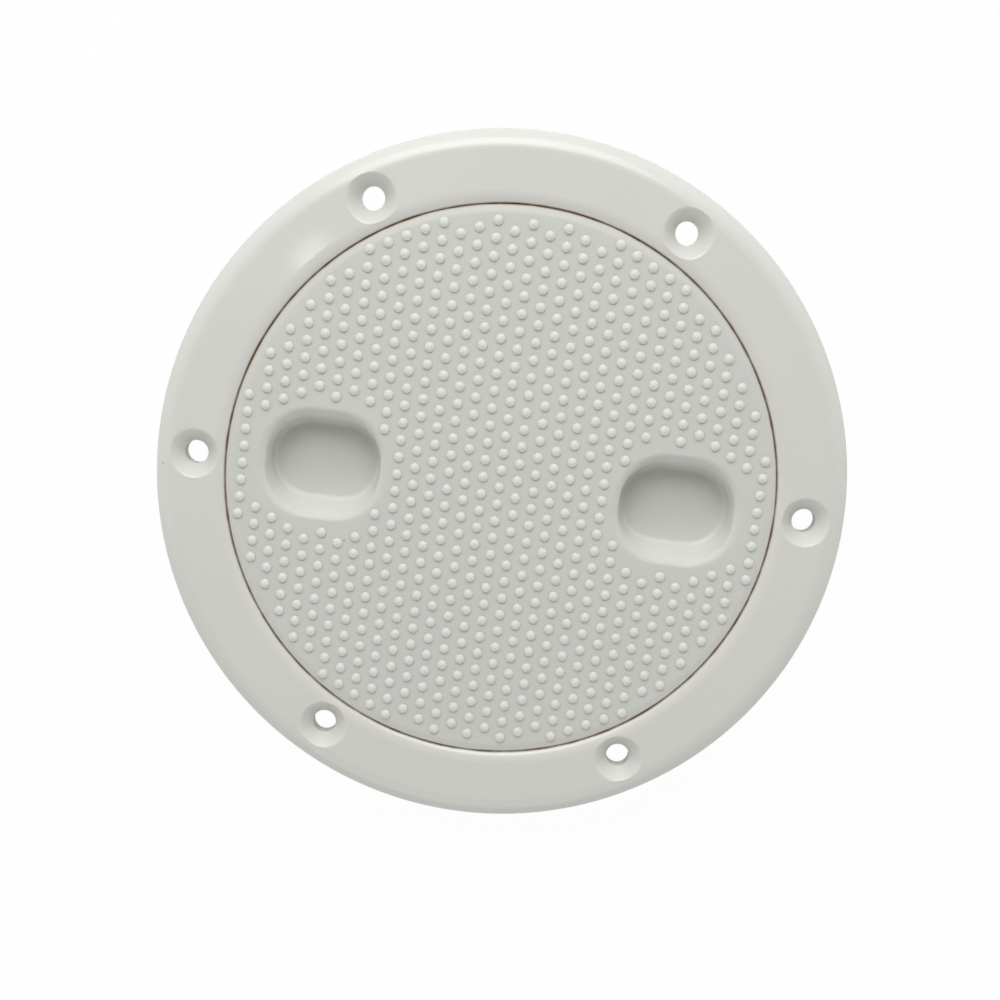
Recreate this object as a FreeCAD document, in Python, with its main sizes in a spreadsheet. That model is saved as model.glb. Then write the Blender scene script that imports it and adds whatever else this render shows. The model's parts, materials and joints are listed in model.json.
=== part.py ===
import FreeCAD, Part
import math
import os
import re
import Sketcher

# A screw-out deck inspection plate, lid closed. The origin is the centre of the flange's
# underside, which lies on the deck, +Z points out of the deck, and +X runs through a screw hole.

SIZES = {
    # Deck ring: flange, seal ledge and barrel in one moulding
    "bore_radius": 53.2,
    "barrel_wall": 4.0,
    "barrel_depth": 16.0,
    "ledge_width": 3.25,
    "ledge_height": 0.6,
    "lip_run": 2.45,
    "lip_drop": 1.5,
    "flange_width": 14.05,
    "flange_thickness": 5.6,
    "bevel_run": 2.8,
    "bevel_drop": 2.0,
    "screws_from_pocket": 6.05,
    "screw_count": 6,
    "screw_hole_radius": 2.4,
    "screw_head_radius": 4.95,
    "screw_head_depth": 2.9,
    # Screw lid: plate, threaded skirt and recess cups in one moulding
    "lid_gap": 0.35,
    "lid_below_flange": 0.4,
    "lid_plate": 2.4,
    "edge_run": 1.0,
    "edge_drop": 0.8,
    "skirt_gap": 0.35,
    "skirt_wall": 3.6,
    "skirt_depth": 13.0,
    "lid_turned_by": 1.0,
    # Finger recesses
    "recess_from_land_edge": 18.8,
    "recess_half_length": 12.1,
    "recess_half_width": 10.6,
    "recess_corner": 9.4,
    "recess_depth": 7.8,
    "recess_draft": 20.0,
    "recess_rim": 1.2,
    "recess_wall": 2.4,
    # Grip studs
    "stud_pitch": 3.5,
    "stud_reach": 1.15,
    "stud_height": 0.7,
    "stud_sides": 4,
    "stud_clearance": 1.45,
    # Seal ring between the plate and the ledge
    "seal_gap": 0.35,
}

doc = FreeCAD.newDocument("deck_inspection_plate")
sheet = doc.addObject("Spreadsheet::Sheet", "sheet")
for row, (alias, number) in enumerate(SIZES.items(), start=1):
    sheet.set(f"A{row}", alias)
    sheet.set(f"B{row}", str(number))
    sheet.setAlias(f"B{row}", alias)
doc.recompute()


def tie(formula):
    """Turn the size names in a formula into references to the sheet."""
    return re.sub(r"[a-z_]+", lambda m: f"sheet.{m[0]}" if m[0] in SIZES else m[0], formula)


def size(formula):
    """The number that a formula of size names has now."""
    return float(sheet.evalExpression(tie(formula)))


# Levels and radii that several pieces share
LID_TOP = "(flange_thickness - lid_below_flange)"
PLATE_UNDERSIDE = f"({LID_TOP} - lid_plate)"
BARREL_RADIUS = "(bore_radius + barrel_wall)"
POCKET_RADIUS = "(bore_radius + ledge_width)"
FLANGE_RADIUS = f"({POCKET_RADIUS} + flange_width)"
SKIRT_RADIUS = "(bore_radius - skirt_gap)"
LID_RADIUS = f"({POCKET_RADIUS} - lid_gap)"
LAND_RADIUS = f"({LID_RADIUS} - edge_run)"
RECESS_CENTRE = f"({LAND_RADIUS} - recess_from_land_edge)"


def origin_plane(body, role):
    return next(feature for feature in body.Origin.OriginFeatures if feature.Role == role)


def new_body(name):
    return doc.addObject("PartDesign::Body", name)


def new_sketch(body, name, role):
    sketch = body.newObject("Sketcher::SketchObject", name)
    sketch.AttachmentSupport = [(origin_plane(body, role), "")]
    sketch.MapMode = "FlatFace"
    return sketch


def held(kind, geometry, end, formula):
    """A dimension from the sketch origin to one end of a curve, with its formula."""
    number = size(formula)
    if abs(number) < 1e-9:
        axis = -2 if kind == "DistanceX" else -1
        return Sketcher.Constraint("PointOnObject", geometry, end, axis), None
    ends = (-1, 1, geometry, end) if number > 0 else (geometry, end, -1, 1)
    return Sketcher.Constraint(kind, *ends, abs(number)), formula if number > 0 else f"-({formula})"


def constrain(sketch, rules):
    """Add all constraints at once, then tie each dimension to its formula."""
    first = len(sketch.Constraints)
    sketch.addConstraint([constraint for constraint, formula in rules])
    for index, (constraint, formula) in enumerate(rules, start=first):
        if formula is not None:
            sketch.setExpression(f"Constraints[{index}]", tie(formula))


def closed_profile(sketch, corners):
    """Join corners, given as (radius, height) formulas, with straight lines."""
    points = [FreeCAD.Vector(size(across), size(up)) for across, up in corners]
    rules = []
    for index, (across, up) in enumerate(corners):
        sketch.addGeometry(Part.LineSegment(points[index], points[(index + 1) % len(points)]))
        before = (index - 1) % len(points)
        rules.append((Sketcher.Constraint("Coincident", before, 2, index, 1), None))
        rules.append(held("DistanceX", index, 1, across))
        rules.append(held("DistanceY", index, 1, up))
    constrain(sketch, rules)


def revolve(body, sketch, name):
    turned = body.newObject("PartDesign::Revolution", name)
    turned.Profile = sketch
    turned.ReferenceAxis = (sketch, ["V_Axis"])
    turned.Angle = 360.0
    doc.recompute()
    return turned


def make_deck_ring():
    body = new_body("deck_ring")
    section = new_sketch(body, "ring_section", "XZ_Plane")
    closed_profile(
        section,
        [
            (BARREL_RADIUS, "0"),
            (FLANGE_RADIUS, "0"),
            (FLANGE_RADIUS, "flange_thickness - bevel_drop"),
            (f"{FLANGE_RADIUS} - bevel_run", "flange_thickness"),
            (f"{POCKET_RADIUS} + lip_run", "flange_thickness"),
            (POCKET_RADIUS, "flange_thickness - lip_drop"),
            (POCKET_RADIUS, "ledge_height"),
            ("bore_radius", "ledge_height"),
            ("bore_radius", "-barrel_depth"),
            (BARREL_RADIUS, "-barrel_depth"),
        ],
    )
    revolve(body, section, "ring_turned")

    hole = new_sketch(body, "screw_hole_section", "XZ_Plane")
    hole.setExpression("AttachmentOffset.Base.x", tie(f"{POCKET_RADIUS} + screws_from_pocket"))
    closed_profile(
        hole,
        [
            ("0", "-flange_thickness"),
            ("screw_hole_radius", "-flange_thickness"),
            ("screw_hole_radius", "flange_thickness - screw_head_depth"),
            ("screw_head_radius", "flange_thickness"),
            ("screw_head_radius", "2 * flange_thickness"),
            ("0", "2 * flange_thickness"),
        ],
    )
    bored = body.newObject("PartDesign::Groove", "screw_hole")
    bored.Profile = hole
    bored.ReferenceAxis = (hole, ["V_Axis"])
    bored.Angle = 360.0
    doc.recompute()
    around = body.newObject("PartDesign::PolarPattern", "screw_holes")
    around.Originals = [bored]
    around.Axis = (section, ["V_Axis"])
    around.Angle = 360.0
    around.setExpression("Occurrences", tie("screw_count"))
    body.Tip = around
    doc.recompute()
    return body


def rounded_oblong(body, name, half_length, half_width, corner):
    """An oblong with rounded corners at the level of the lid's face, centred on a recess."""
    sketch = new_sketch(body, name, "XY_Plane")
    sketch.setExpression("AttachmentOffset.Base.x", tie(RECESS_CENTRE))
    sketch.setExpression("AttachmentOffset.Base.z", tie(LID_TOP))
    reach, breadth, bend = size(half_length), size(half_width), size(corner)
    for quarter in range(4):
        side_x = 1 if quarter in (0, 3) else -1
        side_y = 1 if quarter in (0, 1) else -1
        centre = FreeCAD.Vector(side_x * (reach - bend), side_y * (breadth - bend), 0)
        circle = Part.Circle(centre, FreeCAD.Vector(0, 0, 1), bend)
        first = quarter * math.pi / 2
        sketch.addGeometry(Part.ArcOfCircle(circle, first, first + math.pi / 2))
    for quarter in range(4):
        start = sketch.getPoint(quarter, 2)
        end = sketch.getPoint((quarter + 1) % 4, 1)
        sketch.addGeometry(Part.LineSegment(start, end))
    rules = [
        (Sketcher.Constraint("Radius", 0, bend), corner),
        held("DistanceX", 0, 1, half_length),
        held("DistanceX", 1, 2, f"-({half_length})"),
        held("DistanceY", 0, 2, half_width),
        held("DistanceY", 2, 2, f"-({half_width})"),
    ]
    for quarter in range(4):
        side = quarter + 4
        rules.append((Sketcher.Constraint("Tangent", quarter, 2, side, 1), None))
        rules.append((Sketcher.Constraint("Tangent", side, 2, (quarter + 1) % 4, 1), None))
        rules.append((Sketcher.Constraint("Vertical" if quarter % 2 else "Horizontal", side), None))
        if quarter:
            rules.append((Sketcher.Constraint("Equal", 0, quarter), None))
    constrain(sketch, rules)
    return sketch


def drafted_pair(body, kind, name, sketch, depth):
    """A tapered pad or pocket that goes down from a sketch, on both sides of the lid."""
    feature = body.newObject(kind, name)
    feature.Profile = sketch
    feature.Reversed = kind.endswith("Pad")
    feature.setExpression("Length", tie(depth))
    feature.setExpression("TaperAngle", tie("-recess_draft"))
    doc.recompute()
    pair = body.newObject("PartDesign::Mirrored", f"{name}_pair")
    pair.Originals = [feature]
    pair.MirrorPlane = (origin_plane(body, "YZ_Plane"), [""])
    body.Tip = pair
    doc.recompute()
    return pair


def make_lid_blank():
    """The lid without its studs."""
    body = new_body("lid_blank")
    section = new_sketch(body, "lid_section", "XZ_Plane")
    closed_profile(
        section,
        [
            ("0", LID_TOP),
            (LAND_RADIUS, LID_TOP),
            (LID_RADIUS, f"{LID_TOP} - edge_drop"),
            (LID_RADIUS, PLATE_UNDERSIDE),
            (SKIRT_RADIUS, PLATE_UNDERSIDE),
            (SKIRT_RADIUS, "-skirt_depth"),
            (f"{SKIRT_RADIUS} - skirt_wall", "-skirt_depth"),
            (f"{SKIRT_RADIUS} - skirt_wall", PLATE_UNDERSIDE),
            ("0", PLATE_UNDERSIDE),
        ],
    )
    revolve(body, section, "lid_turned")
    cup = rounded_oblong(
        body, "cup_outline", "recess_half_length + recess_wall",
        "recess_half_width + recess_wall", "recess_corner + recess_wall",
    )
    drafted_pair(body, "PartDesign::Pad", "cup", cup, "recess_depth + recess_wall")
    mouth = rounded_oblong(
        body, "recess_outline", "recess_half_length", "recess_half_width", "recess_corner",
    )
    hollowed = drafted_pair(body, "PartDesign::Pocket", "recess", mouth, "recess_depth")
    face_level = size(LID_TOP)
    rims = []
    for number, edge in enumerate(hollowed.Shape.Edges, start=1):
        level = all(abs(vertex.Z - face_level) < 1e-6 for vertex in edge.Vertexes)
        if level and edge.Length < 2 * size(LAND_RADIUS):
            rims.append(f"Edge{number}")
    eased = body.newObject("PartDesign::Chamfer", "recess_rims")
    eased.Base = (hollowed, rims)
    eased.setExpression("Size", tie("recess_rim"))
    body.Tip = eased
    doc.recompute()
    return body


def stud_centres():
    """Staggered columns of studs that keep clear of the plate's edge and both recesses."""
    pitch = size("stud_pitch")
    reach = size(f"{LAND_RADIUS} - stud_reach")
    clear = size("recess_half_width + recess_rim + stud_clearance")
    middle = size(RECESS_CENTRE)
    straight = size("recess_half_length - recess_half_width")
    steps = math.ceil(reach / pitch)
    for column in range(-steps, steps + 1):
        for place in range(-steps, steps + 1):
            x = column * pitch
            y = (place + (column % 2) / 2) * pitch
            along = max(abs(abs(x) - middle) - straight, 0)
            if math.hypot(x, y) <= reach and math.hypot(along, y) >= clear:
                yield FreeCAD.Vector(x, y, size(LID_TOP))


def stud_sides(centre):
    """The sloping faces of one pointed stud, and the wire that it stands on."""
    count = int(size("stud_sides"))
    tip = centre + FreeCAD.Vector(0, 0, size("stud_height"))
    corners = []
    for index in range(count):
        angle = 2 * math.pi * index / count
        corners.append(centre + FreeCAD.Vector(math.cos(angle), math.sin(angle)) * size("stud_reach"))
    feet = [Part.makeLine(corners[index - 1], corners[index]) for index in range(count)]
    leans = [Part.makeLine(corner, tip) for corner in corners]
    faces = [Part.Face(Part.Wire([feet[i], leans[i], leans[i - 1]])) for i in range(count)]
    return faces, Part.Wire([foot.reversed() for foot in reversed(feet)])


def area_of(face):
    return face.Area


def make_screw_lid(blank):
    """The lid blank with a stud standing on its land at every centre."""
    level = size(LID_TOP)
    faces = list(blank.Shape.Faces)
    flat = [face for face in faces if isinstance(face.Surface, Part.Plane)]
    land = max((face for face in flat if abs(face.CenterOfMass.z - level) < 1e-6), key=area_of)
    outer = land.OuterWire
    openings = [wire for wire in land.Wires if not wire.isSame(outer)]
    sides = []
    for centre in stud_centres():
        stud, foot = stud_sides(centre)
        sides += stud
        openings.append(foot)
    studded_land = Part.Face([outer] + openings)
    shell = Part.Shell([face for face in faces if not face.isSame(land)] + [studded_land] + sides)
    lid = doc.addObject("Part::Feature", "screw_lid")
    lid.Shape = Part.Solid(shell)
    turn = FreeCAD.Rotation(FreeCAD.Vector(0, 0, 1), -size("lid_turned_by"))
    lid.Placement = FreeCAD.Placement(FreeCAD.Vector(), turn)
    return lid


def make_seal_ring():
    body = new_body("seal_ring")
    section = new_sketch(body, "seal_section", "XZ_Plane")
    inner = f"({SKIRT_RADIUS} + seal_gap)"
    outer = f"({POCKET_RADIUS} - seal_gap)"
    closed_profile(
        section,
        [
            (inner, "ledge_height"),
            (outer, "ledge_height"),
            (outer, PLATE_UNDERSIDE),
            (inner, PLATE_UNDERSIDE),
        ],
    )
    revolve(body, section, "seal_turned")
    return body


deck_ring = make_deck_ring()
screw_lid = make_screw_lid(make_lid_blank())
seal_ring = make_seal_ring()
doc.recompute()

for part_object in doc.Objects:
    if "Invalid" in part_object.State or "Error" in part_object.State:
        raise RuntimeError(f"{part_object.Label} did not compute: {part_object.State}")

os.makedirs("parts", exist_ok=True)
for piece in (deck_ring, screw_lid, seal_ring):
    piece.Label = piece.Name
    shape = piece.Shape
    if shape.isNull() or not shape.isValid():
        raise RuntimeError(f"{piece.Label} is not a valid solid")
    shape.exportStep(f"parts/{piece.Label}.step")
    print(piece.Label, "solids", len(shape.Solids), "volume", round(shape.Volume, 1))
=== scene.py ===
import json
import math

import bmesh
import bpy
from mathutils import Matrix, Vector


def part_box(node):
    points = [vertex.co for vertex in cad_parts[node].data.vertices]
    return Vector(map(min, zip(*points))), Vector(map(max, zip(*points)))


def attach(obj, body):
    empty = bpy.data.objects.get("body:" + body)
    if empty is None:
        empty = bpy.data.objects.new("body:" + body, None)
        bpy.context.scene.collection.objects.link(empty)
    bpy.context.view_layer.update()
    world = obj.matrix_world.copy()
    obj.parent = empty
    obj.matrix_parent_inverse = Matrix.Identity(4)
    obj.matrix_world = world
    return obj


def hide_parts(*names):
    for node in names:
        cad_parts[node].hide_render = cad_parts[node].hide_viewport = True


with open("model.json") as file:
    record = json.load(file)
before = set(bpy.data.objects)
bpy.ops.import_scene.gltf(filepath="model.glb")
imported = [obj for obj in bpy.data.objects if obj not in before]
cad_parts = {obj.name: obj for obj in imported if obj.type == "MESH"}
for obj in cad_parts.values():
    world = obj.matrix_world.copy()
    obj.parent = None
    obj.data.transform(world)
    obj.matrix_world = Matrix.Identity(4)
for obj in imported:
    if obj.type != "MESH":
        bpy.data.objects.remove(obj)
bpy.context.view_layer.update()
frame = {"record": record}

# The deck inspection plate: a glossy ring moulding, a matt studded lid that screws into it,
# and the rubber seal between them. Lengths are in metres, written as millimetres times MM.
MM = 0.001
FULL_TURN = 2 * math.pi

mounts = {mount["name"]: mount for mount in frame["record"]["mounts"]}
ring_low, ring_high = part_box("deck_ring")
lid_low, lid_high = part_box("screw_lid")
seal_low, seal_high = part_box("seal_ring")

# Deck ring
FLANGE_RADIUS = min(ring_high.x, ring_high.y)
FLANGE_TOP = ring_high.z
BARREL_BOTTOM = ring_low.z
BARREL_RADIUS = mounts["cutout_spigot"]["dims"]["r_mm"] * MM
BARREL_WALL = 4.0 * MM
BORE_RADIUS = BARREL_RADIUS - BARREL_WALL
LEDGE_LEVEL = seal_low.z
LID_RADIUS = min(lid_high.x, lid_high.y)
SEAM_GAP = 0.08 * MM
POCKET_RADIUS = LID_RADIUS + SEAM_GAP
LIP_WIDTH = 2.72 * MM
LIP_DROP = 1.25 * MM
FLAT_INNER = POCKET_RADIUS + LIP_WIDTH
BEVEL_WIDTH = 4.1 * MM
BEVEL_SLOPE = math.radians(36.0)
FLAT_OUTER = FLANGE_RADIUS - BEVEL_WIDTH
SHOULDER_BEND = 4.5 * MM
NOSE_BEND = 0.7 * MM
EDGE_EASE = 0.35 * MM

# Countersunk screw holes
SCREW_CIRCLE_RADIUS = mounts["screw_holes"]["dims"]["pcd_mm"] / 2 * MM
SCREW_COUNT = mounts["screw_holes"]["dims"]["count"]
SCREW_HOLE_RADIUS = mounts["screw_holes"]["dims"]["hole_r_mm"] * MM
SINK_DEPTH = 2.75 * MM
SINK_SLOPE = math.radians(47.0)
SINK_RIM_BEND = 0.9 * MM
SINK_RIM_END = math.radians(10.0)
SINK_RIM_DEPTH = 0.3 * MM
CUTTER_REACH = 3.0 * MM
CUTTER_OVERLAP = 1.5 * MM

# Lid plate and skirt
STUD_HEIGHT = 0.7 * MM
LID_TOP = lid_high.z - STUD_HEIGHT
PLATE_UNDERSIDE = seal_high.z
LID_EDGE_WIDTH = 1.9 * MM
LID_LAND_RADIUS = LID_RADIUS - LID_EDGE_WIDTH
LID_EDGE_SLOPE = math.radians(14.0)
LID_EDGE_UPPER_BEND = 3.0 * MM
LID_EDGE_LOWER_BEND = 0.35 * MM
SKIRT_BOTTOM = lid_low.z
SKIRT_CLEARANCE = 0.35 * MM
SKIRT_RADIUS = BORE_RADIUS - SKIRT_CLEARANCE
SKIRT_WALL = 3.6 * MM
SKIRT_INNER = SKIRT_RADIUS - SKIRT_WALL
NECK_HEIGHT = 1.0 * MM
LID_TURN = math.radians(-1.0)

# Seal
SEAL_GAP = 0.35 * MM
SEAL_EASE = 0.7 * MM

# Screw thread, right-handed, one start
THREAD_PITCH = 4.0 * MM
THREAD_DEPTH = 1.6 * MM
THREAD_CLEARANCE = 0.4 * MM
THREAD_CREST_HALF = 0.5 * MM
THREAD_FLANK_RUN = 0.45 * MM
THREAD_BACKLASH = 0.35 * MM
THREAD_FADE = math.radians(40.0)
THREAD_END_SHARE = 0.15
THREAD_BURIED = 0.2 * MM
RING_THREAD_START = 2.2 * MM
RING_THREAD_TURNS = 2.4
LID_THREAD_START = 1.2 * MM
LID_THREAD_TURNS = 2.0

# Finger recesses
RECESS_CENTRE = 36.3 * MM
RIM_HALF_LENGTH = 13.65 * MM
RIM_HALF_WIDTH = 11.65 * MM
RIM_CORNER = 11.0 * MM
RIM_BEND = 2.0 * MM
RIM_SLOPE = math.radians(60.0)
RIM_END_SHARE = 1.15
RIM_SIDE_SHARE = 0.78
RECESS_DEPTH = 7.8 * MM
FOOT_SLOPE = math.radians(68.0)
FOOT_HALF_LENGTH = 10.0 * MM
FOOT_HALF_WIDTH = 7.1 * MM
FOOT_CORNER = 6.8 * MM
FOOT_BEND = 1.3 * MM
CUP_WALL = 1.3 * MM
CUP_FLOOR = 2.3 * MM
CUP_BEND = 1.6 * MM

# Grip studs
STUD_PITCH = 3.5 * MM
STUD_RADIUS = 1.05 * MM
STUD_CROWN_RADIUS = 0.97 * MM
STUD_CROWN_RISE = 0.4 * MM
STUD_SINK = 0.05 * MM
STUD_FIELD_RADIUS = 54.1 * MM
STUD_RECESS_CLEAR = 13.25 * MM
STUD_RECESS_STRAIGHT = 1.5 * MM

# Fineness of the round forms
RING_STEPS = 288
HOLE_STEPS = 72
OBLONG_STEPS = 96
STUD_STEPS = 16
STUD_RINGS = 2
BEND_STEPS = 6
CORNER_STEPS = 2
LIP_STEPS = 10
SHARP_ANGLE = math.radians(35.0)
MERGE_DISTANCE = 0.0005 * MM
LEVEL_TOLERANCE = 0.001 * MM
RADIUS_TOLERANCE = 0.01 * MM

# Plastics and rubber
CLOUD_DETAIL = 3.0
GRAIN_DETAIL = 2.0
PLASTIC_IOR = 1.5
POLISH_ROUGHNESS = 0.07
FLANGE_LOOK = {
    "colour": (0.622, 0.617, 0.582),
    "cloudy_colour": (0.650, 0.643, 0.604),
    "cloud_scale": 45.0,
    "grain_scale": 260.0,
    "roughness": (0.26, 0.36),
    "specular": 0.5,
    "polish": 0.2,
    "relief_strength": 0.12,
    "relief_depth": 0.05 * MM,
}
LID_LOOK = {
    "colour": (0.565, 0.568, 0.535),
    "cloudy_colour": (0.592, 0.592, 0.556),
    "cloud_scale": 60.0,
    "grain_scale": 3200.0,
    "roughness": (0.46, 0.58),
    "specular": 0.5,
    "polish": 0.0,
    "relief_strength": 0.25,
    "relief_depth": 0.02 * MM,
}
SEAL_LOOK = {
    "colour": (0.050, 0.033, 0.022),
    "cloudy_colour": (0.080, 0.055, 0.038),
    "cloud_scale": 300.0,
    "grain_scale": 4000.0,
    "roughness": (0.6, 0.8),
    "specular": 0.4,
    "polish": 0.0,
    "relief_strength": 0.3,
    "relief_depth": 0.02 * MM,
}

# Painted light: lighter lid plastic from these depths down, to lift the shade in the recesses, and a
# painted highlight from these heights up on the studs
RECESS_PAINTED_LIGHT_COLOUR = (0.636, 0.638, 0.602)
RECESS_PAINTED_LIGHT_START = 0.3 * MM
RECESS_PAINTED_LIGHT_FULL = 1.3 * MM
STUD_PAINTED_HIGHLIGHT_COLOUR = (0.66, 0.662, 0.625)
STUD_PAINTED_HIGHLIGHT_START = 0.1 * MM
STUD_PAINTED_HIGHLIGHT_FULL = 0.4 * MM

# Dirt beside the seam, and small dark specks
GRIME_COLOUR = (0.26, 0.18, 0.11)
GRIME_REACH = 0.45 * MM
GRIME_CORE = 0.12 * MM
GRIME_FULL_DEPTH = 0.8 * MM
GRIME_END_DEPTH = 1.5 * MM
GRIME_PATCH_SCALE = 220.0
GRIME_PATCH_LOW = 0.3
GRIME_PATCH_HIGH = 0.65
GRIME_LEAST = 0.3
SPECK_COLOUR = (0.16, 0.13, 0.10)
SPECK_SCALE = 130.0
SPECK_EDGE = 0.030
SPECK_CORE = 0.012
LID_SPECK_SHARE = 0.25
FLANGE_SPECK_SHARE = 0.08

# Light and camera
FLOOR_HALF_WIDTH = 3.0
FLOOR_CLEARANCE = 0.05 * MM
FLOOR_COLOUR = (0.8, 0.8, 0.8)
FLOOR_OWN_WHITE = 0.97
ROOM_COLOUR = (1.0, 1.0, 1.0)
ROOM_OVERHEAD = 0.12
ROOM_HORIZON = 1.05
ROOM_SEEN_OVERHEAD = 0.28
ROOM_EVEN_UP_TO = 0.2
# Place, size and power of each lamp
SOFTBOXES = {
    "window_light": ((-0.096, 0.60, 0.52), (0.72, 0.48), 4.45),
    "high_window_light": ((-0.12, 0.62, 0.80), (0.4, 0.4), 0.8),
    "near_fill": ((0.0, -0.85, 0.45), (0.9, 0.5), 1.15),
    "overhead_glint": ((-0.182, 0.036, 1.0), (0.028, 0.028), 0.062),
}
# The camera's turn is in degrees about X, Y and Z
CAMERA_PLACE = (1.7 * MM, 43.0 * MM, 310.3 * MM)
CAMERA_TURN = (-11.49, 1.94, 6.28)
CAMERA_LENS = 54.45
CAMERA_SHIFT = (0.0202, 0.0814)
CAMERA_CLIP = 0.01


def arc_points(centre, run, rise, start, end, steps=BEND_STEPS):
    """Points of (radius, height) on a round or oval arc between two angles, ends included."""
    across, up = centre
    points = []
    for step in range(steps + 1):
        angle = start + (end - start) * step / steps
        points.append((across + run * math.cos(angle), up + rise * math.sin(angle)))
    return points


def corner_points(corner, ease, start):
    """A small rounding inside a square corner of a section, a quarter turn from start."""
    across, up = corner
    middle = start + math.pi / 4
    centre = (
        across - math.copysign(ease, math.cos(middle)),
        up - math.copysign(ease, math.sin(middle)),
    )
    return arc_points(centre, ease, ease, start, start + math.pi / 2, CORNER_STEPS)


def add_outline(bm, points, closed):
    """Vertices and edges of a section in the XZ plane."""
    verts = [bm.verts.new((across, 0, up)) for across, up in points]
    pairs = list(zip(verts, verts[1:]))
    if closed:
        pairs.append((verts[-1], verts[0]))
    return verts + [bm.edges.new(pair) for pair in pairs]


def spin_outline(bm, points, closed, steps=RING_STEPS):
    """Turn a section once round the Z axis."""
    outline = add_outline(bm, points, closed)
    bmesh.ops.spin(
        bm, geom=outline, cent=(0, 0, 0), axis=(0, 0, 1), angle=FULL_TURN, steps=steps, use_merge=True
    )


def close_up(bm):
    """Merge doubles and turn all faces outwards."""
    bmesh.ops.remove_doubles(bm, verts=bm.verts, dist=MERGE_DISTANCE)
    bmesh.ops.recalc_face_normals(bm, faces=bm.faces)


def finished_mesh(bm, name):
    """The bmesh as a named mesh; the bmesh is gone after that."""
    mesh = bpy.data.meshes.new(name)
    bm.to_mesh(mesh)
    bm.free()
    return mesh


def smooth_round_forms(piece):
    """Smooth shading on curves, crisp edges at corners, flat faces kept flat."""
    piece.data.shade_smooth()
    piece.data.set_sharp_from_angle(angle=SHARP_ANGLE)
    even = piece.modifiers.new("even_normals", "WEIGHTED_NORMAL")
    even.keep_sharp = True


def place_piece(name, mesh, material, body, node):
    """A piece that stands in for a node of the frame and moves with its body."""
    piece = bpy.data.objects.new(name, mesh)
    bpy.context.scene.collection.objects.link(piece)
    mesh.materials.append(material)
    smooth_round_forms(piece)
    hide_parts(node)
    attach(piece, body)
    return piece


def helix_ridge(bm, section, first_level, turns):
    """A thread: a closed section carried up a right-hand helix, shallow at both ends."""
    wall_radius = section[0][0]
    steps = round(RING_STEPS * turns)
    rise = THREAD_PITCH * turns / steps
    known = set(bm.verts)
    outline = add_outline(bm, [(across, up + first_level) for across, up in section], True)
    bmesh.ops.spin(
        bm,
        geom=outline,
        cent=(0, 0, 0),
        axis=(0, 0, 1),
        dvec=(0, 0, rise),
        angle=FULL_TURN * turns,
        steps=steps,
    )
    made = [vert for vert in bm.verts if vert not in known]
    for index, vert in enumerate(made):
        # The outline has as many vertices as the section, and each step adds as many again
        step = index // len(section)
        gone = FULL_TURN * turns * min(step, steps - step) / steps
        if gone < THREAD_FADE:
            radius = math.hypot(vert.co.x, vert.co.y)
            share = THREAD_END_SHARE + (1 - THREAD_END_SHARE) * gone / THREAD_FADE
            wanted = wall_radius + (radius - wall_radius) * share
            vert.co.x *= wanted / radius
            vert.co.y *= wanted / radius
    ends = {edge for vert in made for edge in vert.link_edges if edge.is_boundary}
    bmesh.ops.holes_fill(bm, edges=list(ends), sides=len(section))


def sloped_edge(outer_radius, top, land_radius, slope, upper_bend, lower_bend):
    """From the side of a disc up over its rounded, sloping edge to its flat land."""
    slope_normal = math.pi / 2 - slope
    upper = (land_radius, top - upper_bend)
    lower_across = outer_radius - lower_bend
    # The sloping face touches both bends, which settles the level of the lower one
    reach = upper_bend - lower_bend - (lower_across - upper[0]) * math.cos(slope_normal)
    lower = (lower_across, upper[1] + reach / math.sin(slope_normal))
    points = arc_points(lower, lower_bend, lower_bend, 0.0, slope_normal)
    return points + arc_points(upper, upper_bend, upper_bend, slope_normal, math.pi / 2)


def flange_outline():
    """The ring's closed section: barrel, flange, bevel, flat top, lip, pocket, ledge and bore."""
    points = [(BARREL_RADIUS, 0.0)]
    points += corner_points((FLANGE_RADIUS, 0.0), EDGE_EASE, -math.pi / 2)
    points += sloped_edge(FLANGE_RADIUS, FLANGE_TOP, FLAT_OUTER, BEVEL_SLOPE, SHOULDER_BEND, NOSE_BEND)
    lip = (FLAT_INNER, FLANGE_TOP - LIP_DROP)
    points += arc_points(lip, LIP_WIDTH, LIP_DROP, math.pi / 2, math.pi, LIP_STEPS)
    points.append((POCKET_RADIUS, LEDGE_LEVEL))
    points += [(BORE_RADIUS + EDGE_EASE, LEDGE_LEVEL), (BORE_RADIUS, LEDGE_LEVEL - EDGE_EASE)]
    points += [(BORE_RADIUS, BARREL_BOTTOM + EDGE_EASE), (BORE_RADIUS + EDGE_EASE, BARREL_BOTTOM)]
    points += corner_points((BARREL_RADIUS, BARREL_BOTTOM), EDGE_EASE, -math.pi / 2)
    return points


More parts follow.
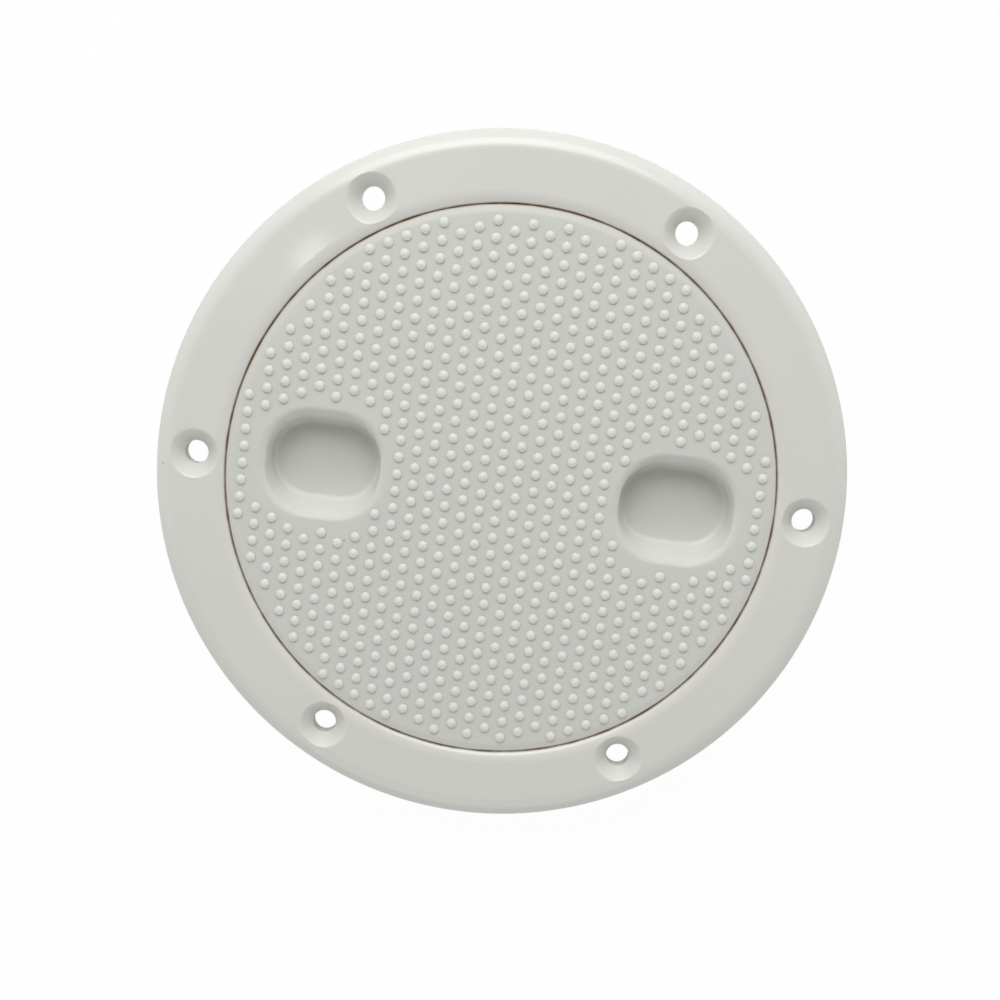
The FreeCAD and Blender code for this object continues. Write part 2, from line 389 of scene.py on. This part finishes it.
def screw_hole_cutter():
    """All the screw holes as one closed mesh: shank, cone and a soft flare at the rim."""
    cone_top_across = SCREW_HOLE_RADIUS + (SINK_DEPTH - SINK_RIM_DEPTH) / math.tan(SINK_SLOPE)
    flare = []
    for step in range(BEND_STEPS + 1):
        slope = SINK_SLOPE + (SINK_RIM_END - SINK_SLOPE) * step / BEND_STEPS
        across = cone_top_across + SINK_RIM_BEND * (math.sin(SINK_SLOPE) - math.sin(slope))
        flare.append((across, SINK_RIM_BEND * (math.cos(slope) - math.cos(SINK_SLOPE))))
    lift = FLANGE_TOP - flare[-1][1]
    flare = [(across, up + lift) for across, up in flare]
    points = [(0.0, -CUTTER_REACH), (SCREW_HOLE_RADIUS, -CUTTER_REACH)]
    cone_fall = (cone_top_across - SCREW_HOLE_RADIUS) * math.tan(SINK_SLOPE)
    points.append((SCREW_HOLE_RADIUS, flare[0][1] - cone_fall))
    points += flare
    outer = flare[-1][0] + CUTTER_OVERLAP
    points.append((outer, FLANGE_TOP + CUTTER_OVERLAP * math.tan(SINK_RIM_END)))
    points += [(outer, FLANGE_TOP + CUTTER_REACH), (0.0, FLANGE_TOP + CUTTER_REACH)]
    bm = bmesh.new()
    spin_outline(bm, points, True, HOLE_STEPS)
    close_up(bm)
    bmesh.ops.translate(bm, verts=bm.verts, vec=(SCREW_CIRCLE_RADIUS, 0, 0))
    first = list(bm.verts) + list(bm.edges) + list(bm.faces)
    for index in range(1, SCREW_COUNT):
        copy = bmesh.ops.duplicate(bm, geom=first)["geom"]
        turn = Matrix.Rotation(FULL_TURN * index / SCREW_COUNT, 3, "Z")
        verts = [part for part in copy if isinstance(part, bmesh.types.BMVert)]
        bmesh.ops.rotate(bm, verts=verts, cent=(0, 0, 0), matrix=turn)
    return finished_mesh(bm, "screw_hole_cutter")


def with_holes(mesh, cutter_mesh):
    """The mesh with the cutter taken out of it."""
    whole = bpy.data.objects.new("whole", mesh)
    cutter = bpy.data.objects.new("cutter", cutter_mesh)
    for helper in (whole, cutter):
        bpy.context.scene.collection.objects.link(helper)
    cut = whole.modifiers.new("screw_holes", "BOOLEAN")
    cut.operation = "DIFFERENCE"
    cut.solver = "EXACT"
    cut.object = cutter
    ready = bpy.context.evaluated_depsgraph_get()
    result = bpy.data.meshes.new_from_object(whole.evaluated_get(ready))
    for helper in (whole, cutter):
        bpy.data.objects.remove(helper)
    return result


def ring_thread(bm):
    """The female thread: a ridge that stands in from the bore."""
    root = THREAD_CREST_HALF + THREAD_BACKLASH
    mouth = root + THREAD_FLANK_RUN * (THREAD_DEPTH - THREAD_CLEARANCE) / THREAD_DEPTH
    crest_radius = BORE_RADIUS - THREAD_DEPTH
    middle = THREAD_PITCH / 2
    buried = BORE_RADIUS + THREAD_BURIED
    section = [
        (buried, root - middle),
        (crest_radius, mouth - middle),
        (crest_radius, middle - mouth),
        (buried, middle - root),
    ]
    helix_ridge(bm, section, BARREL_BOTTOM + RING_THREAD_START, RING_THREAD_TURNS)


def make_deck_ring(material):
    """Barrel and flange turned as one, drilled for the screws, with the thread in the bore."""
    bm = bmesh.new()
    spin_outline(bm, flange_outline(), True)
    close_up(bm)
    solid = with_holes(finished_mesh(bm, "ring_whole"), screw_hole_cutter())
    bm = bmesh.new()
    bm.from_mesh(solid)
    thread = bmesh.new()
    ring_thread(thread)
    close_up(thread)
    bm.from_mesh(finished_mesh(thread, "ring_thread"))
    mesh = finished_mesh(bm, "deck_ring_moulding")
    return place_piece("deck_ring_moulding", mesh, material, "ring", "deck_ring")


def lid_outline():
    """The lid's open section, from the edge of its flat land over the rim and round the skirt."""
    edge = sloped_edge(
        LID_RADIUS, LID_TOP, LID_LAND_RADIUS, LID_EDGE_SLOPE, LID_EDGE_UPPER_BEND, LID_EDGE_LOWER_BEND
    )
    points = edge[::-1]
    points += reversed(corner_points((LID_RADIUS, PLATE_UNDERSIDE), EDGE_EASE, -math.pi / 2))
    neck = LEDGE_LEVEL - NECK_HEIGHT
    root = SKIRT_RADIUS - THREAD_DEPTH
    points += [(SKIRT_RADIUS, PLATE_UNDERSIDE), (SKIRT_RADIUS, neck), (root, neck - THREAD_DEPTH)]
    points += reversed(corner_points((root, SKIRT_BOTTOM), EDGE_EASE, -math.pi / 2))
    points += reversed(corner_points((SKIRT_INNER, SKIRT_BOTTOM), EDGE_EASE, math.pi))
    points.append((SKIRT_INNER, PLATE_UNDERSIDE))
    return points


def recess_levels():
    """Half length, half width, corner radius and depth of each level of a finger recess."""
    levels = []
    for step in range(BEND_STEPS + 1):
        slope = RIM_SLOPE * step / BEND_STEPS
        inset = RIM_BEND * math.sin(slope)
        half_length = RIM_HALF_LENGTH - inset * RIM_END_SHARE
        half_width = RIM_HALF_WIDTH - inset * RIM_SIDE_SHARE
        levels.append((half_length, half_width, RIM_CORNER - inset, RIM_BEND * (1 - math.cos(slope))))
    for step in range(BEND_STEPS + 1):
        slope = FOOT_SLOPE * (1 - step / BEND_STEPS)
        outset = FOOT_BEND * math.sin(slope)
        size = (FOOT_HALF_LENGTH + outset, FOOT_HALF_WIDTH + outset, FOOT_CORNER + outset)
        levels.append((*size, RECESS_DEPTH - FOOT_BEND * (1 - math.cos(slope))))
    return levels


def cup_levels():
    """The same for the outside of the cup below a recess, with heights in place of depths."""
    top, foot = recess_levels()[BEND_STEPS : BEND_STEPS + 2]
    under = LID_TOP - PLATE_UNDERSIDE
    bottom = RECESS_DEPTH + CUP_FLOOR

    def outside(depth):
        share = (depth - top[3]) / (foot[3] - top[3])
        return [a + (b - a) * share + CUP_WALL for a, b in zip(top[:3], foot[:3])]

    levels = [(*outside(under), LID_TOP - under)]
    turn_depth = bottom - CUP_BEND
    base = outside(turn_depth)
    for step in range(BEND_STEPS + 1):
        slope = math.pi / 2 * step / BEND_STEPS
        inset = CUP_BEND * (1 - math.cos(slope))
        depth = turn_depth + CUP_BEND * math.sin(slope)
        levels.append((*[value - inset for value in base], LID_TOP - depth))
    return levels


def oblong_loop(bm, half_length, half_width, corner, level, middle):
    """The edges of one rounded oblong: a circle whose four quarters are moved apart."""
    # Turned by half a step, so that no vertex lies between two quarters
    place = Matrix.Translation((0, 0, level)) @ Matrix.Rotation(math.pi / OBLONG_STEPS, 4, "Z")
    made = bmesh.ops.create_circle(bm, segments=OBLONG_STEPS, radius=corner, matrix=place)["verts"]
    for vert in made:
        vert.co.x += math.copysign(half_length - corner, vert.co.x)
        vert.co.y += math.copysign(half_width - corner, vert.co.y)
    bmesh.ops.translate(bm, verts=made, vec=(middle, 0, 0))
    return list({edge for vert in made for edge in vert.link_edges})


def stacked_oblongs(bm, levels, middle):
    """Oblongs bridged one to the next and closed at the last. Gives the edges of the first."""
    loops = [oblong_loop(bm, *level, middle) for level in levels]
    for upper, lower in zip(loops, loops[1:]):
        bmesh.ops.bridge_loops(bm, edges=upper + lower)
    bmesh.ops.contextual_create(bm, geom=loops[-1])
    return loops[0]


def rim_edges(bm, radius, level):
    """The open edges of the turned part of the lid at one radius and level."""
    return [
        edge
        for edge in bm.edges
        if edge.is_boundary
        and all(abs(vert.co.z - level) < LEVEL_TOLERANCE for vert in edge.verts)
        and all(abs(vert.co.xy.length - radius) < RADIUS_TOLERANCE for vert in edge.verts)
    ]


def stud_mesh():
    """One round stud: a short steep wall under a low crown, closed a little below the lid's face."""
    crown_bend = (STUD_CROWN_RADIUS**2 + STUD_CROWN_RISE**2) / (2 * STUD_CROWN_RISE)
    crown_angle = math.asin(STUD_CROWN_RADIUS / crown_bend)
    points = [(STUD_RADIUS, -STUD_SINK)]
    crown = (0.0, STUD_HEIGHT - crown_bend)
    points += arc_points(crown, crown_bend, crown_bend, math.pi / 2 - crown_angle, math.pi / 2, STUD_RINGS)
    bm = bmesh.new()
    spin_outline(bm, points, False, STUD_STEPS)
    bmesh.ops.remove_doubles(bm, verts=bm.verts, dist=MERGE_DISTANCE)
    open_edges = [edge for edge in bm.edges if edge.is_boundary]
    bmesh.ops.holes_fill(bm, edges=open_edges, sides=STUD_STEPS)
    close_up(bm)
    return finished_mesh(bm, "stud")


def stud_centres():
    """Staggered columns of studs inside the lid's edge and clear of both recesses."""
    steps = math.ceil(STUD_FIELD_RADIUS / STUD_PITCH)
    for column in range(-steps, steps + 1):
        for place in range(-steps, steps + 1):
            x = column * STUD_PITCH
            y = (place + (column % 2) / 2) * STUD_PITCH
            along = max(abs(abs(x) - RECESS_CENTRE) - STUD_RECESS_STRAIGHT, 0.0)
            if math.hypot(x, y) <= STUD_FIELD_RADIUS and math.hypot(along, y) >= STUD_RECESS_CLEAR:
                yield Vector((x, y, LID_TOP))


def add_studs(bm):
    """One stud at every place of the grid."""
    stud = stud_mesh()
    for centre in stud_centres():
        before = len(bm.verts)
        bm.from_mesh(stud)
        bm.verts.ensure_lookup_table()
        bmesh.ops.translate(bm, verts=bm.verts[before:], vec=centre)


def lid_thread(bm):
    """The male thread: a ridge that stands out from the skirt."""
    crest_radius = SKIRT_RADIUS
    buried = SKIRT_RADIUS - THREAD_DEPTH - THREAD_BURIED
    base_half = THREAD_CREST_HALF + THREAD_FLANK_RUN
    section = [
        (buried, -base_half),
        (crest_radius, -THREAD_CREST_HALF),
        (crest_radius, THREAD_CREST_HALF),
        (buried, base_half),
    ]
    helix_ridge(bm, section, SKIRT_BOTTOM + LID_THREAD_START, LID_THREAD_TURNS)


def make_screw_lid(material):
    """Plate and skirt turned as one, with the recesses, their cups, the thread and the studs."""
    bm = bmesh.new()
    spin_outline(bm, lid_outline(), False)
    bmesh.ops.remove_doubles(bm, verts=bm.verts, dist=MERGE_DISTANCE)
    top_edges = rim_edges(bm, LID_LAND_RADIUS, LID_TOP)
    under_edges = rim_edges(bm, SKIRT_INNER, PLATE_UNDERSIDE)
    recess = [(*level[:3], LID_TOP - level[3]) for level in recess_levels()]
    for side in (-1, 1):
        top_edges += stacked_oblongs(bm, recess, side * RECESS_CENTRE)
        under_edges += stacked_oblongs(bm, cup_levels(), side * RECESS_CENTRE)
    for edges in (top_edges, under_edges):
        bmesh.ops.triangle_fill(bm, use_beauty=True, edges=edges, normal=(0, 0, 1))
    close_up(bm)
    thread = bmesh.new()
    lid_thread(thread)
    close_up(thread)
    bm.from_mesh(finished_mesh(thread, "lid_thread"))
    add_studs(bm)
    bmesh.ops.rotate(bm, verts=bm.verts, cent=(0, 0, 0), matrix=Matrix.Rotation(LID_TURN, 3, "Z"))
    mesh = finished_mesh(bm, "screw_lid_moulding")
    return place_piece("screw_lid_moulding", mesh, material, "lid", "screw_lid")


def make_seal_ring(material):
    """The rubber seal: a square ring with rounded corners that fills the room under the plate."""
    inner, outer = SKIRT_RADIUS + SEAL_GAP, seal_high.x
    points = corner_points((outer, LEDGE_LEVEL), SEAL_EASE, -math.pi / 2)
    points += corner_points((outer, PLATE_UNDERSIDE), SEAL_EASE, 0.0)
    points += corner_points((inner, PLATE_UNDERSIDE), SEAL_EASE, math.pi / 2)
    points += corner_points((inner, LEDGE_LEVEL), SEAL_EASE, math.pi)
    bm = bmesh.new()
    spin_outline(bm, points, True)
    close_up(bm)
    mesh = finished_mesh(bm, "seal_ring_rubber")
    return place_piece("seal_ring_rubber", mesh, material, "seal", "seal_ring")


def new_material(name):
    """An empty material with its nodes and links."""
    material = bpy.data.materials.new(name)
    material.use_nodes = True
    nodes = material.node_tree.nodes
    nodes.clear()
    return material, nodes, material.node_tree.links


def moulded_skin_group():
    """Moulded plastic: faint cloudiness in the colour, uneven gloss and a fine grain."""
    group = bpy.data.node_groups.new("moulded_skin", "ShaderNodeTree")
    face = group.interface
    face.new_socket("Colour", in_out="INPUT", socket_type="NodeSocketColor")
    face.new_socket("Cloudy Colour", in_out="INPUT", socket_type="NodeSocketColor")
    face.new_socket("Cloud Scale", in_out="INPUT", socket_type="NodeSocketFloat")
    face.new_socket("Grain Scale", in_out="INPUT", socket_type="NodeSocketFloat")
    face.new_socket("Smooth Roughness", in_out="INPUT", socket_type="NodeSocketFloat")
    face.new_socket("Dull Roughness", in_out="INPUT", socket_type="NodeSocketFloat")
    face.new_socket("Colour", in_out="OUTPUT", socket_type="NodeSocketColor")
    face.new_socket("Roughness", in_out="OUTPUT", socket_type="NodeSocketFloat")
    face.new_socket("Grain", in_out="OUTPUT", socket_type="NodeSocketFloat")
    nodes, links = group.nodes, group.links
    given = nodes.new("NodeGroupInput")
    result = nodes.new("NodeGroupOutput")
    place = nodes.new("ShaderNodeTexCoord")

    clouds = nodes.new("ShaderNodeTexNoise")
    clouds.inputs["Detail"].default_value = CLOUD_DETAIL
    links.new(place.outputs["Object"], clouds.inputs["Vector"])
    links.new(given.outputs["Cloud Scale"], clouds.inputs["Scale"])
    tint = nodes.new("ShaderNodeMix")
    tint.data_type = "RGBA"
    links.new(clouds.outputs["Fac"], tint.inputs["Factor"])
    links.new(given.outputs["Colour"], tint.inputs["A"])
    links.new(given.outputs["Cloudy Colour"], tint.inputs["B"])
    links.new(tint.outputs["Result"], result.inputs["Colour"])

    gloss = nodes.new("ShaderNodeMapRange")
    links.new(clouds.outputs["Fac"], gloss.inputs["Value"])
    links.new(given.outputs["Smooth Roughness"], gloss.inputs["To Min"])
    links.new(given.outputs["Dull Roughness"], gloss.inputs["To Max"])
    links.new(gloss.outputs["Result"], result.inputs["Roughness"])

    grain = nodes.new("ShaderNodeTexNoise")
    grain.inputs["Detail"].default_value = GRAIN_DETAIL
    links.new(place.outputs["Object"], grain.inputs["Vector"])
    links.new(given.outputs["Grain Scale"], grain.inputs["Scale"])
    links.new(grain.outputs["Fac"], result.inputs["Grain"])
    return group


def grime_group():
    """A dirty plastic colour: brown beside the seam and a few small dark specks."""
    group = bpy.data.node_groups.new("grime", "ShaderNodeTree")
    face = group.interface
    face.new_socket("Colour", in_out="INPUT", socket_type="NodeSocketColor")
    face.new_socket("Speck Share", in_out="INPUT", socket_type="NodeSocketFloat")
    face.new_socket("Colour", in_out="OUTPUT", socket_type="NodeSocketColor")
    nodes, links = group.nodes, group.links
    given = nodes.new("NodeGroupInput")
    result = nodes.new("NodeGroupOutput")
    place = nodes.new("ShaderNodeTexCoord")

    flatten = nodes.new("ShaderNodeVectorMath")
    flatten.operation = "MULTIPLY"
    flatten.inputs[1].default_value = (1.0, 1.0, 0.0)
    links.new(place.outputs["Object"], flatten.inputs[0])
    radius = nodes.new("ShaderNodeVectorMath")
    radius.operation = "LENGTH"
    links.new(flatten.outputs["Vector"], radius.inputs[0])
    away = nodes.new("ShaderNodeMath")
    away.operation = "SUBTRACT"
    away.inputs[1].default_value = (LID_RADIUS + POCKET_RADIUS) / 2
    links.new(radius.outputs["Value"], away.inputs[0])
    gap = nodes.new("ShaderNodeMath")
    gap.operation = "ABSOLUTE"
    links.new(away.outputs["Value"], gap.inputs[0])
    near = nodes.new("ShaderNodeMapRange")
    near.interpolation_type = "SMOOTHSTEP"
    near.inputs["From Min"].default_value = GRIME_REACH
    near.inputs["From Max"].default_value = GRIME_CORE
    links.new(gap.outputs["Value"], near.inputs["Value"])
    patches = nodes.new("ShaderNodeTexNoise")
    patches.inputs["Scale"].default_value = GRIME_PATCH_SCALE
    links.new(place.outputs["Object"], patches.inputs["Vector"])
    uneven = nodes.new("ShaderNodeMapRange")
    uneven.inputs["From Min"].default_value = GRIME_PATCH_LOW
    uneven.inputs["From Max"].default_value = GRIME_PATCH_HIGH
    uneven.inputs["To Min"].default_value = GRIME_LEAST
    links.new(patches.outputs["Fac"], uneven.inputs["Value"])
    parts = nodes.new("ShaderNodeSeparateXYZ")
    links.new(place.outputs["Object"], parts.inputs["Vector"])
    upper = nodes.new("ShaderNodeMapRange")
    upper.inputs["From Min"].default_value = LID_TOP - GRIME_END_DEPTH
    upper.inputs["From Max"].default_value = LID_TOP - GRIME_FULL_DEPTH
    links.new(parts.outputs["Z"], upper.inputs["Value"])
    near_top = nodes.new("ShaderNodeMath")
    near_top.operation = "MULTIPLY"
    links.new(near.outputs["Result"], near_top.inputs[0])
    links.new(upper.outputs["Result"], near_top.inputs[1])
    amount = nodes.new("ShaderNodeMath")
    amount.operation = "MULTIPLY"
    links.new(near_top.outputs["Value"], amount.inputs[0])
    links.new(uneven.outputs["Result"], amount.inputs[1])
    browned = nodes.new("ShaderNodeMix")
    browned.data_type = "RGBA"
    browned.inputs["B"].default_value = (*GRIME_COLOUR, 1.0)
    links.new(amount.outputs["Value"], browned.inputs["Factor"])
    links.new(given.outputs["Colour"], browned.inputs["A"])

    cells = nodes.new("ShaderNodeTexVoronoi")
    cells.inputs["Scale"].default_value = SPECK_SCALE
    links.new(place.outputs["Object"], cells.inputs["Vector"])
    dot = nodes.new("ShaderNodeMapRange")
    dot.interpolation_type = "SMOOTHSTEP"
    dot.inputs["From Min"].default_value = SPECK_EDGE
    dot.inputs["From Max"].default_value = SPECK_CORE
    links.new(cells.outputs["Distance"], dot.inputs["Value"])
    lot = nodes.new("ShaderNodeSeparateColor")
    links.new(cells.outputs["Color"], lot.inputs["Color"])
    chosen = nodes.new("ShaderNodeMath")
    chosen.operation = "LESS_THAN"
    links.new(lot.outputs["Red"], chosen.inputs[0])
    links.new(given.outputs["Speck Share"], chosen.inputs[1])
    shown = nodes.new("ShaderNodeMath")
    shown.operation = "MULTIPLY"
    links.new(dot.outputs["Result"], shown.inputs[0])
    links.new(chosen.outputs["Value"], shown.inputs[1])
    specked = nodes.new("ShaderNodeMix")
    specked.data_type = "RGBA"
    specked.inputs["B"].default_value = (*SPECK_COLOUR, 1.0)
    links.new(shown.outputs["Value"], specked.inputs["Factor"])
    links.new(browned.outputs["Result"], specked.inputs["A"])
    links.new(specked.outputs["Result"], result.inputs["Colour"])
    return group


def plastic_material(name, skin, look):
    """A moulded plastic with its own colours, cloud and grain sizes, gloss and grain depth."""
    material, nodes, links = new_material(name)
    effect = nodes.new("ShaderNodeGroup")
    effect.name = "skin"
    effect.node_tree = skin
    effect.inputs["Colour"].default_value = (*look["colour"], 1.0)
    effect.inputs["Cloudy Colour"].default_value = (*look["cloudy_colour"], 1.0)
    effect.inputs["Cloud Scale"].default_value = look["cloud_scale"]
    effect.inputs["Grain Scale"].default_value = look["grain_scale"]
    effect.inputs["Smooth Roughness"].default_value = look["roughness"][0]
    effect.inputs["Dull Roughness"].default_value = look["roughness"][1]
    shader = nodes.new("ShaderNodeBsdfPrincipled")
    shader.name = "plastic"
    shader.inputs["IOR"].default_value = PLASTIC_IOR
    shader.inputs["Specular IOR Level"].default_value = look["specular"]
    shader.inputs["Coat Weight"].default_value = look["polish"]
    shader.inputs["Coat Roughness"].default_value = POLISH_ROUGHNESS
    relief = nodes.new("ShaderNodeBump")
    relief.inputs["Strength"].default_value = look["relief_strength"]
    relief.inputs["Distance"].default_value = look["relief_depth"]
    output = nodes.new("ShaderNodeOutputMaterial")
    links.new(effect.outputs["Colour"], shader.inputs["Base Color"])
    links.new(effect.outputs["Roughness"], shader.inputs["Roughness"])
    links.new(effect.outputs["Grain"], relief.inputs["Height"])
    links.new(relief.outputs["Normal"], shader.inputs["Normal"])
    links.new(shader.outputs["BSDF"], output.inputs["Surface"])
    return material


def add_grime(material, colour_output, grime, speck_share):
    """Send a colour through the grime and on to the plastic."""
    nodes, links = material.node_tree.nodes, material.node_tree.links
    dirt = nodes.new("ShaderNodeGroup")
    dirt.node_tree = grime
    dirt.inputs["Speck Share"].default_value = speck_share
    links.new(colour_output, dirt.inputs["Colour"])
    links.new(dirt.outputs["Colour"], nodes["plastic"].inputs["Base Color"])


def flange_material(skin, grime):
    """The ring's glossy plastic, dirty beside the seam."""
    material = plastic_material("flange_gloss", skin, FLANGE_LOOK)
    colour = material.node_tree.nodes["skin"].outputs["Colour"]
    add_grime(material, colour, grime, FLANGE_SPECK_SHARE)
    return material


def lid_material(skin, grime):
    """The lid's matt plastic, with painted light: a painted highlight on the studs and a lighter colour in
    the shaded recesses.
    """
    material = plastic_material("lid_matt", skin, LID_LOOK)
    nodes, links = material.node_tree.nodes, material.node_tree.links
    place = nodes.new("ShaderNodeTexCoord")
    parts = nodes.new("ShaderNodeSeparateXYZ")
    links.new(place.outputs["Object"], parts.inputs["Vector"])
    # Painted light: the lid's colour turns lighter below its face, which lifts the shade in the recesses
    inside = nodes.new("ShaderNodeMapRange")
    inside.inputs["From Min"].default_value = LID_TOP - RECESS_PAINTED_LIGHT_START
    inside.inputs["From Max"].default_value = LID_TOP - RECESS_PAINTED_LIGHT_FULL
    links.new(parts.outputs["Z"], inside.inputs["Value"])
    recess_painted_light = nodes.new("ShaderNodeMix")
    recess_painted_light.data_type = "RGBA"
    recess_painted_light.inputs["B"].default_value = (*RECESS_PAINTED_LIGHT_COLOUR, 1.0)
    links.new(inside.outputs["Result"], recess_painted_light.inputs["Factor"])
    links.new(nodes["skin"].outputs["Colour"], recess_painted_light.inputs["A"])
    # Painted highlight: the stud crowns are coloured lighter than the field around them
    stud_highlight_mask = nodes.new("ShaderNodeMapRange")
    stud_highlight_mask.inputs["From Min"].default_value = LID_TOP + STUD_PAINTED_HIGHLIGHT_START
    stud_highlight_mask.inputs["From Max"].default_value = LID_TOP + STUD_PAINTED_HIGHLIGHT_FULL
    links.new(parts.outputs["Z"], stud_highlight_mask.inputs["Value"])
    stud_painted_highlight = nodes.new("ShaderNodeMix")
    stud_painted_highlight.data_type = "RGBA"
    stud_painted_highlight.inputs["B"].default_value = (*STUD_PAINTED_HIGHLIGHT_COLOUR, 1.0)
    links.new(stud_highlight_mask.outputs["Result"], stud_painted_highlight.inputs["Factor"])
    links.new(recess_painted_light.outputs["Result"], stud_painted_highlight.inputs["A"])
    add_grime(material, stud_painted_highlight.outputs["Result"], grime, LID_SPECK_SHARE)
    return material


def seen_directly(nodes, links):
    """A node that is one where the room is seen by the camera, in a reflection or through glass."""
    path = nodes.new("ShaderNodeLightPath")
    plain_or_mirrored = nodes.new("ShaderNodeMath")
    plain_or_mirrored.operation = "MAXIMUM"
    links.new(path.outputs["Is Camera Ray"], plain_or_mirrored.inputs[0])
    links.new(path.outputs["Is Glossy Ray"], plain_or_mirrored.inputs[1])
    any_of_them = nodes.new("ShaderNodeMath")
    any_of_them.operation = "MAXIMUM"
    links.new(plain_or_mirrored.outputs["Value"], any_of_them.inputs[0])
    links.new(path.outputs["Is Transmission Ray"], any_of_them.inputs[1])
    return any_of_them


def floor_material():
    """Pale floor that looks white to the camera and still takes the object's soft shadow."""
    material, nodes, links = new_material("studio_floor")
    path = nodes.new("ShaderNodeLightPath")
    share = nodes.new("ShaderNodeMath")
    share.operation = "MULTIPLY"
    share.inputs[1].default_value = FLOOR_OWN_WHITE
    links.new(path.outputs["Is Camera Ray"], share.inputs[0])
    plain = nodes.new("ShaderNodeBsdfDiffuse")
    plain.inputs["Color"].default_value = (*FLOOR_COLOUR, 1.0)
    white = nodes.new("ShaderNodeEmission")
    mixed = nodes.new("ShaderNodeMixShader")
    output = nodes.new("ShaderNodeOutputMaterial")
    links.new(share.outputs["Value"], mixed.inputs["Fac"])
    links.new(plain.outputs["BSDF"], mixed.inputs[1])
    links.new(white.outputs["Emission"], mixed.inputs[2])
    links.new(mixed.outputs["Shader"], output.inputs["Surface"])
    return material


def make_floor():
    """A wide floor just under the barrel."""
    bm = bmesh.new()
    bmesh.ops.create_grid(bm, x_segments=1, y_segments=1, size=FLOOR_HALF_WIDTH)
    bmesh.ops.translate(bm, verts=bm.verts, vec=(0, 0, BARREL_BOTTOM - FLOOR_CLEARANCE))
    mesh = finished_mesh(bm, "floor")
    mesh.materials.append(floor_material())
    floor = bpy.data.objects.new("floor", mesh)
    bpy.context.scene.collection.objects.link(floor)


def make_room():
    """Light that comes mostly from the sides, and a room that is seen white there and grey overhead."""
    world = bpy.data.worlds.new("studio_room")
    bpy.context.scene.world = world
    world.use_nodes = True
    nodes, links = world.node_tree.nodes, world.node_tree.links
    nodes.clear()
    seen = seen_directly(nodes, links)
    way = nodes.new("ShaderNodeTexCoord")
    parts = nodes.new("ShaderNodeSeparateXYZ")
    links.new(way.outputs["Generated"], parts.inputs["Vector"])
    light = nodes.new("ShaderNodeBackground")
    light.inputs["Color"].default_value = (*ROOM_COLOUR, 1.0)
    white = nodes.new("ShaderNodeBackground")
    white.inputs["Color"].default_value = (*ROOM_COLOUR, 1.0)
    for shade, overhead, horizon in (
        (light, ROOM_OVERHEAD, ROOM_HORIZON),
        (white, ROOM_SEEN_OVERHEAD, 1.0),
    ):
        fall = nodes.new("ShaderNodeMapRange")
        fall.interpolation_type = "SMOOTHSTEP"
        fall.inputs["From Min"].default_value = ROOM_EVEN_UP_TO
        fall.inputs["To Min"].default_value = horizon
        fall.inputs["To Max"].default_value = overhead
        links.new(parts.outputs["Z"], fall.inputs["Value"])
        links.new(fall.outputs["Result"], shade.inputs["Strength"])
    mixed = nodes.new("ShaderNodeMixShader")
    output = nodes.new("ShaderNodeOutputWorld")
    links.new(seen.outputs["Value"], mixed.inputs["Fac"])
    links.new(light.outputs["Background"], mixed.inputs[1])
    links.new(white.outputs["Background"], mixed.inputs[2])
    links.new(mixed.outputs["Shader"], output.inputs["Surface"])


def make_softbox(name, place, size, power):
    """A rectangular soft light that faces the middle of the lid."""
    light = bpy.data.lights.new(name, "AREA")
    light.shape = "RECTANGLE"
    light.size, light.size_y = size
    light.energy = power
    lamp = bpy.data.objects.new(name, light)
    lamp.location = place
    lamp.rotation_euler = (-Vector(place)).to_track_quat("-Z", "Y").to_euler()
    bpy.context.scene.collection.objects.link(lamp)


def make_camera():
    """The camera stands almost straight above the plate."""
    data = bpy.data.cameras.new("camera")
    data.lens = CAMERA_LENS
    data.shift_x, data.shift_y = CAMERA_SHIFT
    data.clip_start = CAMERA_CLIP
    camera = bpy.data.objects.new("camera", data)
    camera.location = CAMERA_PLACE
    camera.rotation_euler = [math.radians(turn) for turn in CAMERA_TURN]
    bpy.context.scene.collection.objects.link(camera)
    bpy.context.scene.camera = camera


make_camera()
make_room()
for name, softbox in SOFTBOXES.items():
    make_softbox(name, *softbox)
make_floor()
skin = moulded_skin_group()
grime = grime_group()
make_deck_ring(flange_material(skin, grime))
make_screw_lid(lid_material(skin, grime))
make_seal_ring(plastic_material("seal_black", skin, SEAL_LOOK))
bpy.context.scene.view_settings.view_transform = "Standard"
